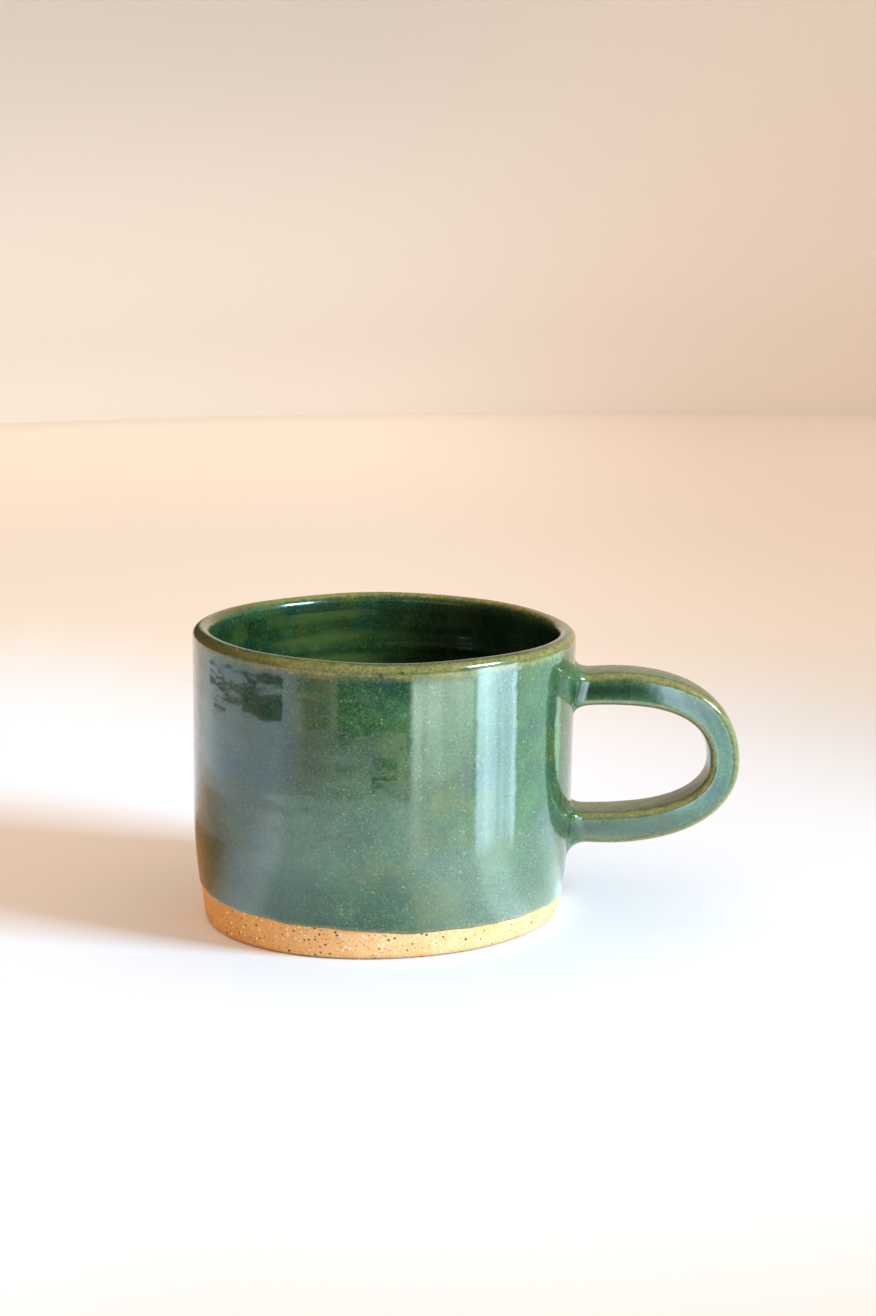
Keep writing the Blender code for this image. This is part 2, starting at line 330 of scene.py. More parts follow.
def make_clay_foot():
    """The bare stoneware below the glaze line, its rounded edge and its flat underside."""
    rings = []
    inset = CLAY_INSET + 0.05 * MM
    top = glaze_line(THETA) + 1.2 * MM
    edge = (1.3 + 0.9 * (1.0 + np.cos(THETA + 0.25)) / 2) * MM
    hidden_top = FLOOR_TOP - 0.8 * MM
    rings.append(ring(outer_radius(top) - 2.2 * MM, top))
    for share in np.linspace(0.0, 1.0, 26):
        z = top + (edge - top) * share
        rings.append(ring(outer_radius(z) + hand(THETA, z) - inset, z))
    for turn in np.radians(np.linspace(0.0, 90.0, 10)[1:]):
        z = edge * (1.0 - math.sin(turn))
        middle = outer_radius(edge) + hand(THETA, edge) - inset - edge
        rings.append(ring(middle + edge * math.cos(turn), z))
    outer = outer_radius(edge) - inset - edge
    for share in np.linspace(1.0, 0.0, 40)[1:-1]:
        rings.append(ring(outer * share, 0.0))
    top_pole = lean(np.array([0.0, 0.0, hidden_top]))
    inner = [ring(outer_radius(top) * 0.7, hidden_top)]
    all_rings = [lean(r) for r in inner + rings]
    return grid_mesh("clay_foot", all_rings, start_pole=top_pole, end_pole=np.zeros(3))


# ---------------------------------------------------------------- the handle

def bezier(a, b, c, d, t):
    t = t[:, None]
    s = 1.0 - t
    return a * s ** 3 + b * 3 * s * s * t + c * 3 * s * t * t + d * t ** 3


def handle_line(count=600):
    """The strap's middle line in the XZ plane, evenly spaced: (points, tangents)."""
    upper = np.array([HANDLE_START, 0.0, UPPER_ROOT - 0.3 * MM])
    lower = np.array([HANDLE_START, 0.0, LOWER_ROOT - 0.1 * MM])
    tip = np.array([HANDLE_REACH + 0.1 * MM, 0.0, HANDLE_TIP_HEIGHT])
    t = np.linspace(0.0, 1.0, 400)
    pull_up = upper + np.array([43.6, 0.0, 6.3]) * MM
    pull_low = lower + np.array([44.5, 0.0, -4.9]) * MM
    first = bezier(upper, pull_up, tip + np.array([0, 0, 2.5]) * MM, tip, t)
    second = bezier(tip, tip - np.array([0, 0, 0.5]) * MM, pull_low, lower, t)
    line = np.concatenate([first, second[1:]])
    length = np.concatenate([[0.0], np.cumsum(np.linalg.norm(np.diff(line, axis=0), axis=1))])
    even = np.linspace(0.0, length[-1], count)
    line = np.stack([np.interp(even, length, line[:, i]) for i in range(3)], axis=1)
    tangent = np.gradient(line, axis=0)
    tangent /= np.linalg.norm(tangent, axis=1)[:, None]
    return line, tangent


CORNER_POINTS = 13
SIDE_POINTS = 7
SECTION = 4 * (CORNER_POINTS + SIDE_POINTS)  # points round the strap
HANDLE_CORNER = 1.6 * MM
NARROWING = 0.09  # how much narrower the strap is on the outside of the bend


def strap_section(width, thickness):
    """A rounded rectangle, crowned on its broad faces and narrower on the outside of the bend.

    Gives (across, out of the bend, closeness to a corner, closeness to the middle of a narrow
    side, angle round the section).
    """
    half_w, half_t = width / 2, thickness / 2
    arm_w, arm_t = half_w - HANDLE_CORNER, half_t - HANDLE_CORNER
    u, v = [], []
    for quarter in range(4):
        start = quarter * math.pi / 2
        cu = arm_w if quarter in (0, 3) else -arm_w
        cv = arm_t if quarter in (0, 1) else -arm_t
        for turn in start + np.linspace(0.0, math.pi / 2, CORNER_POINTS):
            u.append(cu + HANDLE_CORNER * math.cos(turn))
            v.append(cv + HANDLE_CORNER * math.sin(turn))
        first = (u[-1], v[-1])
        ends = ((-arm_w, half_t), (-half_w, -arm_t), (arm_w, -half_t), (half_w, arm_t))
        last = ends[quarter]
        for share in np.linspace(0.0, 1.0, SIDE_POINTS + 2)[1:-1]:
            u.append(first[0] + (last[0] - first[0]) * share)
            v.append(first[1] + (last[1] - first[1]) * share)
    u, v = np.array(u), np.array(v)
    slant = 0.5 * (v / half_t + 1.0)
    from_side = np.abs(u) / half_w
    from_face = np.abs(v) / half_t
    closeness = np.exp(-((from_side - 0.94) / 0.16) ** 2 - ((from_face - 0.92) / 0.42) ** 2)
    broad = 0.45 * np.clip((from_face - 0.75) / 0.2, 0.0, 1.0)
    closeness = np.maximum(closeness, broad)
    flank = 0.75 * np.clip((from_side - 0.75) / 0.2, 0.0, 1.0) * np.exp(-(v / half_t / 0.55) ** 2)
    turn = np.arctan2(v / half_t, u / half_w)
    crown = 0.30 * MM * (1.0 - (u / half_w) ** 2) * (v / half_t)
    bulge = 0.18 * MM * (1.0 - (v / half_t) ** 2) * (u / half_w)
    return (u + bulge) * (1.0 - NARROWING * slant), v + crown, closeness, flank, turn


def strap_curves():
    """The free strap's surface and outward directions, with its section's corner, flank and angle."""
    line, tangent = handle_line()
    out = np.stack([-tangent[:, 2], np.zeros(len(line)), tangent[:, 0]], axis=1)
    side = np.array([0.0, 1.0, 0.0])
    share = np.clip((line[:, 0] - RIM_RADIUS) / (HANDLE_REACH - RIM_RADIUS), 0.0, 1.0)
    shrink = 1.0 - TIP_THINNING * share ** 3
    swell = (0.3 - 0.6 * np.clip(1.0 - 3.0 * share, 0.0, 1.0)) * MM
    along = np.linspace(0.0, 1.0, len(line))
    wobble = 1.0 + 0.014 * np.sin(9.0 * along + 1.0) + 0.010 * np.sin(23.0 * along)
    points = np.zeros((len(line), SECTION, 3))
    for i in range(len(line)):
        width = HANDLE_WIDTH * wobble[i] * (0.4 + 0.6 * shrink[i])
        thickness = (HANDLE_THICKNESS + swell[i]) * shrink[i]
        across, outward, corner, flank, turn = strap_section(width, thickness)
        points[i] = line[i] + across[:, None] * side + outward[:, None] * out[i]
    forward = np.roll(points, -1, axis=1) - np.roll(points, 1, axis=1)
    normal = np.cross(forward, np.gradient(points, axis=0))
    normal /= np.linalg.norm(normal, axis=2)[..., None]
    return points, normal, corner, flank, turn


def wall_x(y, z):
    """Where the outside wall stands at this place across and up, on the handle's side."""
    return np.sqrt(np.clip(outer_radius(z) ** 2 - y ** 2, 0.0, None))


def root_rings(points, normal, turn, upper):
    """Rings of the cove that blends one root into the wall, from the wall outwards.

    Gives the rings, and the station along the strap where each section point leaves the cove.
    """
    away = np.sin(turn)
    length = (4.3 + 0.6 * away) * MM
    spread = (2.9 + 1.2 * away) * MM
    spread = spread + 0.35 * MM * np.sin(3 * turn + (1.0 if upper else 2.5))
    span = len(points) // 3
    clear = points[:span, :, 0] - wall_x(points[:span, :, 1], points[:span, :, 2])
    rings = []
    stations = np.arange(span)
    starts = np.zeros(SECTION)
    for psi in np.radians(np.linspace(90.0, 0.0, 19)):
        gap = length * (1.0 - math.sin(psi))
        rise = spread * (1.0 - math.cos(psi))
        ring_points = np.zeros((SECTION, 3))
        for j in range(SECTION):
            s = np.interp(gap[j], clear[:, j], stations)
            p = np.array([np.interp(s, stations, points[:span, j, k]) for k in range(3)])
            n = np.array([np.interp(s, stations, normal[:span, j, k]) for k in range(3)])
            n[0] = 0.0
            n /= np.linalg.norm(n)
            p = p + n * rise[j]
            p[0] = wall_x(p[1], p[2]) + gap[j] - (0.08 * MM if psi > 1.5 else 0.0)
            ring_points[j] = p
            starts[j] = s
        rings.append(ring_points)
    buried = rings[0].copy()
    buried[:, 0] -= 0.7 * MM
    return [buried] + rings, starts


def make_handle_coat():
    """The coat round the strap and both coves, thin along its corners and darker along its flanks where
    the glaze lies thick, with painted shade along the upper and lower arms.
    """
    points, normal, corner, flank, turn = strap_curves()
    upper, first = root_rings(points, normal, turn, True)
    lower, last = root_rings(points[::-1], normal[::-1], turn, False)
    total = len(points) - 1
    stations = np.arange(total + 1)
    middle = []
    steps = 150
    for i in range(1, steps):
        share = i / steps
        s = first + (total - last - first) * share
        middle.append(np.stack([
            np.array([np.interp(s[j], stations, points[:, j, k]) for j in range(SECTION)])
            for k in range(3)], axis=1))
    rings = upper + middle + lower[::-1]
    count = len(rings)
    flat = np.concatenate(rings)
    start = upper[0].mean(axis=0)
    end = lower[0].mean(axis=0)
    obj = grid_mesh("handle_glaze_coat", [lean(r) for r in rings],
                    start_pole=lean(start), end_pole=lean(end), sharp=70.0)
    edge = np.tile(corner, count)
    root = np.ones(count)
    root[:len(upper)] = np.linspace(0.0, 1.0, len(upper))
    root[-len(lower):] = np.linspace(1.0, 0.0, len(lower))
    thin = edge * np.repeat(root, SECTION)
    point_values(obj, "thin", np.concatenate([thin, [0.0, 0.0]]))
    # Painted shade: the flanks darken most on the upper and lower arms, least at the tip
    painted_arm_shade = 0.2 + 0.8 * np.clip((flat[:, 2] - 46 * MM) / (9 * MM), 0.0, 1.0)
    painted_arm_shade += 0.8 * np.clip((30 * MM - flat[:, 2]) / (8 * MM), 0.0, 1.0)
    point_values(obj, "pool_and_shade", np.concatenate([np.tile(flank, count) * painted_arm_shade, [0.0, 0.0]]))
    return obj


# ---------------------------------------------------------------- materials

class Nodes:
    """Short names for building one material's node tree."""

    def __init__(self, name):
        self.material = bpy.data.materials.new(name)
        self.material.use_nodes = True
        self.tree = self.material.node_tree
        self.shader = self.tree.nodes["Principled BSDF"]
        self.place = self.tree.nodes.new("ShaderNodeTexCoord").outputs["Object"]

    def add(self, kind, **settings):
        node = self.tree.nodes.new(kind)
        for key, value in settings.items():
            setattr(node, key, value)
        return node

    def join(self, source, target):
        self.tree.links.new(source, target)

    def stretched(self, scale, offset=(0.0, 0.0, 0.0)):
        node = self.add("ShaderNodeMapping")
        node.inputs["Scale"].default_value = scale
        node.inputs["Location"].default_value = offset
        self.join(self.place, node.inputs["Vector"])
        return node.outputs["Vector"]

    def noise(self, size, detail=3.0, rough=0.5, vector=None, distort=0.0):
        node = self.add("ShaderNodeTexNoise")
        node.inputs["Scale"].default_value = 1.0 / size
        node.inputs["Detail"].default_value = detail
        node.inputs["Roughness"].default_value = rough
        node.inputs["Distortion"].default_value = distort
        self.join(vector or self.place, node.inputs["Vector"])
        return node.outputs["Fac"]

    def cells(self, size, vector=None):
        node = self.add("ShaderNodeTexVoronoi")
        node.inputs["Scale"].default_value = 1.0 / size
        self.join(vector or self.place, node.inputs["Vector"])
        return node

    def ramp(self, value, low, high, a=0.0, b=1.0, smooth=True):
        node = self.add("ShaderNodeMapRange")
        node.interpolation_type = "SMOOTHSTEP" if smooth else "LINEAR"
        node.inputs["From Min"].default_value = low
        node.inputs["From Max"].default_value = high
        node.inputs["To Min"].default_value = a
        node.inputs["To Max"].default_value = b
        self.join(value, node.inputs["Value"])
        return node.outputs["Result"]

    def math(self, operation, a, b=None, c=None):
        node = self.add("ShaderNodeMath", operation=operation)
        for socket, value in zip(node.inputs, (a, b, c)):
            if value is None:
                continue
            if isinstance(value, (int, float)):
                socket.default_value = value
            else:
                self.join(value, socket)
        return node.outputs[0]

    def mix(self, factor, a, b):
        node = self.add("ShaderNodeMix", data_type="RGBA")
        for key, value in ((0, factor), (6, a), (7, b)):
            socket = node.inputs[key]
            if isinstance(value, (int, float)):
                socket.default_value = value
            elif isinstance(value, tuple):
                socket.default_value = (*value, 1.0)
            else:
                self.join(value, socket)
        return node.outputs[2]

    def away(self, x, y):
        """Distance from the mug's axis."""
        squares = self.math("ADD", self.math("MULTIPLY", x, x), self.math("MULTIPLY", y, y))
        return self.math("SQRT", squares)

    def attribute(self, name):
        return self.add("ShaderNodeAttribute", attribute_name=name).outputs["Fac"]

    def split(self, vector):
        node = self.add("ShaderNodeSeparateXYZ")
        self.join(vector, node.inputs[0])
        return node.outputs

    def bump(self, height, strength, distance, normal=None):
        node = self.add("ShaderNodeBump")
        node.inputs["Strength"].default_value = strength
        node.inputs["Distance"].default_value = distance
        self.join(height, node.inputs["Height"])
        if normal is not None:
            self.join(normal, node.inputs["Normal"])
        return node.outputs["Normal"]

    def specks(self, size, radius, share, seed):
        """Small scattered dots: 1 on a dot, 0 elsewhere, then a random tone for each.

        `size` is the spacing, `radius` a share of it, and `share` the part of cells that hold a dot.
        """
        cells = self.cells(size, self.stretched((1, 1, 1), seed))
        colour = self.split(cells.outputs["Color"])
        wanted = self.math("LESS_THAN", colour[0], share)
        reach = self.math("MULTIPLY_ADD", colour[1], radius, radius * 0.5)
        edge = self.math("SUBTRACT", reach, cells.outputs["Distance"])
        dot = self.ramp(edge, 0.0, 0.35 * radius)
        return self.math("MULTIPLY", wanted, dot), colour[2]


OLIVE = (0.080, 0.105, 0.017)
TEAL = (0.008, 0.050, 0.046)
CRUMB_GREEN = (0.11, 0.22, 0.10)
POOL_AND_SHADE_BLACK = (0.001, 0.004, 0.002)
# Near-black of glaze lying thick, also used as painted shade
DUSTY_OLIVE = (0.085, 0.085, 0.022)
# Brown that thin glaze is painted in shade
SHADED_THIN_BROWN = (0.05, 0.034, 0.012)
FLECKS = (0.11, 0.24, 0.08), (0.32, 0.40, 0.17)
GLAZE_IRON = (0.010, 0.022, 0.012), (0.085, 0.022, 0.014)
UNDER_COAT_ROUGHNESS = 0.28


def glaze_material(name, deep, body, pale, thin_colour, specks=1.0, hues=1.0, grit=0.22, coat=1.0,
                   coat_rough=0.07):
    """Glossy speckled glaze: mottled green, breaking to olive gold where the coat is thin.

    It reads two numbers from the mesh: `thin`, 1 where the clay shows through, and a darkening, 1 where
    the colour goes nearly black: thick glaze on the handle's flanks, elsewhere painted shade.
    """
    n = Nodes(name)
    cloud = n.noise(9 * MM, 4.0, 0.6)
    drift = n.noise(26 * MM, 2.0, 0.5, n.stretched((1.0, 1.0, 1.6), (0.3, 0.1, 0.7)))
    grain = n.noise(0.9 * MM, 3.0, 0.6)
    colour = n.mix(n.ramp(drift, 0.35, 0.68), deep, body)
    colour = n.mix(n.ramp(cloud, 0.40, 0.72, 0.0, 0.65), colour, pale)
    colour = n.mix(n.ramp(grain, 0.46, 0.70, 0.0, 0.48), colour, pale)
    colour = n.mix(n.ramp(grain, 0.50, 0.30, 0.0, 0.42), colour, deep)
    crumb = n.noise(0.45 * MM, 2.0, 0.7, n.stretched((1.0, 1.0, 1.0), (0.7, 0.7, 0.2)))
    colour = n.mix(n.ramp(crumb, 0.52, 0.68, 0.0, 0.55 * specks), colour, CRUMB_GREEN)
    colour = n.mix(n.ramp(crumb, 0.48, 0.34, 0.0, 0.60), colour, deep)
    olive = n.noise(15 * MM, 3.0, 0.6, n.stretched((1.0, 1.0, 0.8), (0.9, 0.2, 0.4)), 0.4)
    teal = n.noise(12 * MM, 3.0, 0.6, n.stretched((1.0, 1.0, 1.2), (0.4, 0.8, 0.1)), 0.4)
    colour = n.mix(n.ramp(olive, 0.48, 0.68, 0.0, 0.55 * hues), colour, OLIVE)
    colour = n.mix(n.ramp(teal, 0.50, 0.70, 0.0, 0.60 * hues), colour, TEAL)
    hair = n.noise(3.0 * MM, 3.0, 0.6, n.stretched((0.12, 0.12, 6.0)))
    colour = n.mix(n.ramp(hair, 0.66, 0.74, 0.0, 0.25), colour, deep)

    light, tone = n.specks(1.15 * MM, 0.20, 0.36, (0.11, 0.05, 0.02))
    fine, _ = n.specks(0.62 * MM, 0.30, 0.55, (0.31, 0.25, 0.12))
    fleck_colour = n.mix(tone, *FLECKS)
    colour = n.mix(n.math("MULTIPLY", fine, 0.30 * specks), colour, fleck_colour)
    iron, iron_tone = n.specks(2.5 * MM, 0.14, 0.50, (0.61, 0.45, 0.33))
    iron_colour = n.mix(iron_tone, *GLAZE_IRON)

    # Nearly black where the glaze lies thick, and painted shade where the mesh marks it
    pool_and_shade = n.attribute("pool_and_shade")
    colour = n.mix(pool_and_shade, colour, POOL_AND_SHADE_BLACK)
    thin = n.attribute("thin")
    gritty = n.ramp(n.noise(1.2 * MM, 5.0, 0.7), 0.3, 0.7, -grit, grit, False)
    broken = n.math("ADD", thin, gritty)
    patches = n.noise(5.0 * MM, 3.0, 0.6, n.stretched((1.0, 1.0, 2.5), (0.2, 0.6, 0.9)))
    broken = n.math("MULTIPLY", broken, n.ramp(patches, 0.35, 0.65, 0.80, 1.08))
    # Painted shade: thin glaze turns brown towards the side away from the handle and the window light
    to_far_side = n.ramp(n.split(n.place)[0], -16 * MM, -44 * MM, 0.0, 0.75)
    shaded_thin = n.mix(to_far_side, thin_colour, SHADED_THIN_BROWN)
    dust = n.ramp(n.noise(0.8 * MM, 4.0, 0.7), 0.40, 0.66, 0.0, 0.75 * min(1.0, grit * 5))
    colour = n.mix(n.ramp(broken, 0.22, 0.98), colour, n.mix(dust, shaded_thin, DUSTY_OLIVE))
    fleck_strength = n.ramp(pool_and_shade, 0.0, 0.5, 0.52 * specks, 0.0)
    colour = n.mix(n.math("MULTIPLY", light, fleck_strength), colour, fleck_colour)
    colour = n.mix(n.math("MULTIPLY", iron, 0.75 * specks * specks), colour, iron_colour)
    n.join(colour, n.shader.inputs["Base Color"])

    patchy = n.ramp(n.noise(5 * MM, 3.0, 0.6), 0.3, 0.7,
                    UNDER_COAT_ROUGHNESS * 0.75, UNDER_COAT_ROUGHNESS * 1.35, False)
    n.join(patchy, n.shader.inputs["Roughness"])
    n.shader.inputs["IOR"].default_value = 1.5
    n.shader.inputs["Specular IOR Level"].default_value = 0.12
    n.shader.inputs["Coat Weight"].default_value = coat
    n.shader.inputs["Coat Roughness"].default_value = coat_rough
    n.shader.inputs["Coat IOR"].default_value = 1.58
    peel = n.noise(2.4 * MM, 2.0, 0.5)
    slow = n.noise(8.0 * MM, 2.0, 0.5, n.stretched((1.0, 1.0, 1.4)))
    pits, _ = n.specks(6.0 * MM, 0.07, 0.55, (0.81, 0.15, 0.53))
    surface = n.bump(slow, 0.24, 0.35 * MM)
    surface = n.bump(peel, 0.08, 0.05 * MM, surface)
    surface = n.bump(n.math("SUBTRACT", 1.0, pits), 0.5, 0.15 * MM, surface)
    n.join(surface, n.shader.inputs["Normal"])
    n.join(surface, n.shader.inputs["Coat Normal"])
    return n.material


def clay_material(name):
    """Bare grogged stoneware: orange tan, dry, with iron specks and pale grit."""
    n = Nodes(name)
    cloud = n.noise(7 * MM, 4.0, 0.6)
    grain = n.noise(0.5 * MM, 4.0, 0.7)
    # Painted light and shade: deep orange on the side away from the window, pale on the handle's side
    # where its light falls
    shaded_clay = n.mix(n.ramp(cloud, 0.3, 0.7), (0.66, 0.29, 0.056), (0.76, 0.38, 0.095))
    pale = n.mix(n.ramp(cloud, 0.3, 0.7), (0.95, 0.57, 0.23), (1.0, 0.70, 0.39))
    side = n.split(n.place)[0]
    colour = n.mix(n.ramp(side, -43 * MM, 7 * MM), shaded_clay, pale)
    colour = n.mix(n.ramp(grain, 0.38, 0.70, 0.0, 0.55), colour, (0.70, 0.36, 0.13))
    iron, tone = n.specks(1.3 * MM, 0.22, 0.55, (0.2, 0.4, 0.1))
    dust, _ = n.specks(0.75 * MM, 0.26, 0.55, (0.5, 0.1, 0.3))
    grog, _ = n.specks(1.0 * MM, 0.27, 0.55, (0.7, 0.3, 0.9))
    colour = n.mix(n.math("MULTIPLY", grog, 0.85), colour, (0.96, 0.86, 0.70))
    colour = n.mix(n.math("MULTIPLY", dust, 0.6), colour, (0.28, 0.12, 0.045))
    iron_colour = n.mix(tone, (0.02, 0.015, 0.015), (0.13, 0.045, 0.02))
    colour = n.mix(n.math("MULTIPLY", iron, 0.95), colour, iron_colour)
    n.join(colour, n.shader.inputs["Base Color"])
    n.join(n.ramp(grain, 0.2, 0.8, 0.75, 0.95, False), n.shader.inputs["Roughness"])
    n.shader.inputs["Specular IOR Level"].default_value = 0.3
    turned = n.noise(1.3 * MM, 3.0, 0.6, n.stretched((0.15, 0.15, 3.0)))
    surface = n.bump(turned, 0.5, 0.12 * MM)
    surface = n.bump(grain, 0.6, 0.10 * MM, surface)
    surface = n.bump(grog, 0.5, 0.10 * MM, surface)
    n.join(surface, n.shader.inputs["Normal"])
    return n.material


# ---------------------------------------------------------------- the setting

def make_floor():
    """A round pale floor with a low warm wall all round it.

    Its paint goes from cool white near the mug to warm at the wall, and is duller at the right and
    behind: painted light and painted shade, standing in for window light that fades with distance.
    """
    rings = []
    around = 96
    theta = np.arange(around) * (math.tau / around)
    profile = [(0.1, 0.0), (0.3, 0.0), (0.6, 0.0), (1.02, 0.0), (1.02, 0.24), (1.02, 0.40)]
    for radius, height in profile:
        rings.append(np.stack([radius * np.cos(theta), radius * np.sin(theta),
                               np.full(around, height)], axis=1))
    floor = grid_mesh("studio_floor", rings, start_pole=np.zeros(3))
    n = Nodes("pale_floor")
    x, y, z = n.split(n.place)
    reach = n.away(x, y)
    warm_from = n.math("SUBTRACT", reach, n.ramp(x, -0.14, -0.02, 0.10, 0.0))
    # Painted light: cool white near the mug, warm further out, lighter again far out against the light's
    # fall-off, darker at the wall's foot and up the wall
    colour = n.mix(n.ramp(warm_from, 0.15, 0.36), (0.80, 0.85, 0.93), (0.755, 0.690, 0.610))
    colour = n.mix(n.ramp(reach, 0.54, 0.92), colour, (0.89, 0.805, 0.70))
    colour = n.mix(n.ramp(reach, 0.97, 1.02), colour, (0.81, 0.715, 0.62))
    colour = n.mix(n.ramp(z, 0.0, 0.0002), colour, (0.71, 0.595, 0.495))
    colour = n.mix(n.ramp(z, 0.0, 0.05), colour, (0.655, 0.54, 0.452))
    colour = n.mix(n.ramp(z, 0.06, 0.25), colour, (0.495, 0.41, 0.345))
    # Painted shade to the right and behind
    behind_right = n.math("MULTIPLY", n.ramp(x, -0.03, 0.22), n.ramp(y, -0.05, 0.22))
    shade = n.math("MULTIPLY", behind_right, n.ramp(z, 0.0, 0.04, 0.60, 0.45))
    dusk = n.mix(n.ramp(reach, 0.20, 0.45), (0.48, 0.465, 0.44), (0.60, 0.475, 0.370))
    dusk = n.mix(n.ramp(z, 0.0, 0.01), dusk, (0.63, 0.475, 0.36))
    colour = n.mix(shade, colour, dusk)
    n.join(colour, n.shader.inputs["Base Color"])
    n.shader.inputs["Roughness"].default_value = 0.9
    n.shader.inputs["Specular IOR Level"].default_value = 0.0
    floor.data.materials.append(n.material)


def area_light(name, place, aim, width, height, power, colour):
    data = bpy.data.lights.new(name, "AREA")
    data.shape = "RECTANGLE"
    data.size = width
    data.size_y = height
    data.energy = power
    data.color = colour
    obj = bpy.data.objects.new(name, data)
    bpy.context.scene.collection.objects.link(obj)
    obj.location = place
    obj.rotation_mode = "QUATERNION"
    obj.rotation_quaternion = (Vector(aim) - Vector(place)).to_track_quat("-Z", "Y")
    obj.visible_camera = False


def glow_material(name, colour, strength):
    n = Nodes(name)
    n.shader.inputs["Base Color"].default_value = (0.0, 0.0, 0.0, 1.0)
    n.shader.inputs["Specular IOR Level"].default_value = 0.0
    n.shader.inputs["Emission Color"].default_value = (*colour, 1.0)
    n.shader.inputs["Emission Strength"].default_value = strength
    return n


def make_card(name, points, faces, material):
    """A studio card that shows in the glaze's gloss and nowhere else: a painted reflection."""
    mesh = bpy.data.meshes.new(name)
    mesh.from_pydata(points, [], faces)
    mesh.materials.append(material)
    obj = bpy.data.objects.new(name, mesh)
    bpy.context.scene.collection.objects.link(obj)
    obj.visible_camera = obj.visible_diffuse = obj.visible_shadow = False
    obj.visible_transmission = obj.visible_volume_scatter = False


def show_through(n, mask):
    """The card is seen only where the mask is 1."""
    clear = n.add("ShaderNodeBsdfTransparent")
    blend = n.add("ShaderNodeMixShader")
    n.join(mask, blend.inputs[0])
    n.join(clear.outputs[0], blend.inputs[1])
    n.join(n.shader.outputs[0], blend.inputs[2])
    n.join(blend.outputs[0], n.tree.nodes["Material Output"].inputs["Surface"])


def polar(n):
    """Azimuth in degrees, 0 in front of the mug and 90 at its handle, then reach and height."""
    x, y, z = n.split(n.place)
    turn = n.math("ARCTAN2", x, n.math("MULTIPLY", y, -1.0))
    return n.math("MULTIPLY", turn, 180.0 / math.pi), n.away(x, y), z


def arc_card(name, azimuth, span, radius, low, high, strength, colour, soft=1.5, ragged=0.0,
             folds=0.0, foot=0.0, climb=1.0):
    """An upright card bent round the mug, painting a reflection in the glaze.

    Azimuth, span and the soft edges are in degrees, the rest in metres. `ragged` breaks up the
    outline, `folds` is how much of the glow the folds of a curtain take away, `foot` is the height
    over which the card fades in, and `climb` how much brighter it gets towards its top.
    """
    points = []
    steps = max(4, int(span / 3))
    for i in range(steps + 1):
        turn = math.radians(azimuth + span * (i / steps - 0.5) - 90.0)
        points += [(radius * math.cos(turn), radius * math.sin(turn), z) for z in (low, high)]
    faces = [(2 * i, 2 * i + 1, 2 * i + 3, 2 * i + 2) for i in range(steps)]
    n = glow_material(name, colour, strength)
    angle, _, z = polar(n)
    across = n.math("ABSOLUTE", n.math("SUBTRACT", angle, azimuth))
    rise = soft * 1.5 * MM
    sides = n.ramp(across, span / 2 - soft, span / 2, 1.0, 0.0)
    bottom = n.ramp(z, low, low + max(rise, foot))
    top = n.ramp(z, high - rise, high, 1.0, 0.0)
    mask = n.math("MULTIPLY", sides, n.math("MULTIPLY", bottom, top))
    if ragged:
        rough = n.ramp(n.noise(9 * MM, 4.0, 0.65), 0.3, 0.7, -ragged, ragged, False)
        mask = n.ramp(n.math("ADD", mask, rough), 0.40, 0.60)
    show_through(n, mask)
    drape = n.noise(8 * MM, 3.0, 0.6, n.stretched((1.0, 1.0, 0.06)))
    drape = n.ramp(drape, 0.38, 0.62, strength * (1.0 - folds), strength)
    glow = n.math("MULTIPLY", drape, n.ramp(z, 0.45 * high, high, 1.0, climb))
    n.join(glow, n.shader.inputs["Emission Strength"])
    make_card(name, points, faces, n.material)


def fan(first, last, steps, radii, height):
    """The points and faces of a flat ring sector round the mug, between two azimuths."""
    points, faces = [], []
    for i in range(steps + 1):
        turn = math.radians(first + (last - first) * i / steps - 90.0)
        points += [(r * math.cos(turn), r * math.sin(turn), height) for r in radii]
    for i in range(steps):
        for j in range(len(radii) - 1):
            a = i * len(radii) + j
            faces.append((a, a + 1, a + 1 + len(radii), a + len(radii)))
    return points, faces


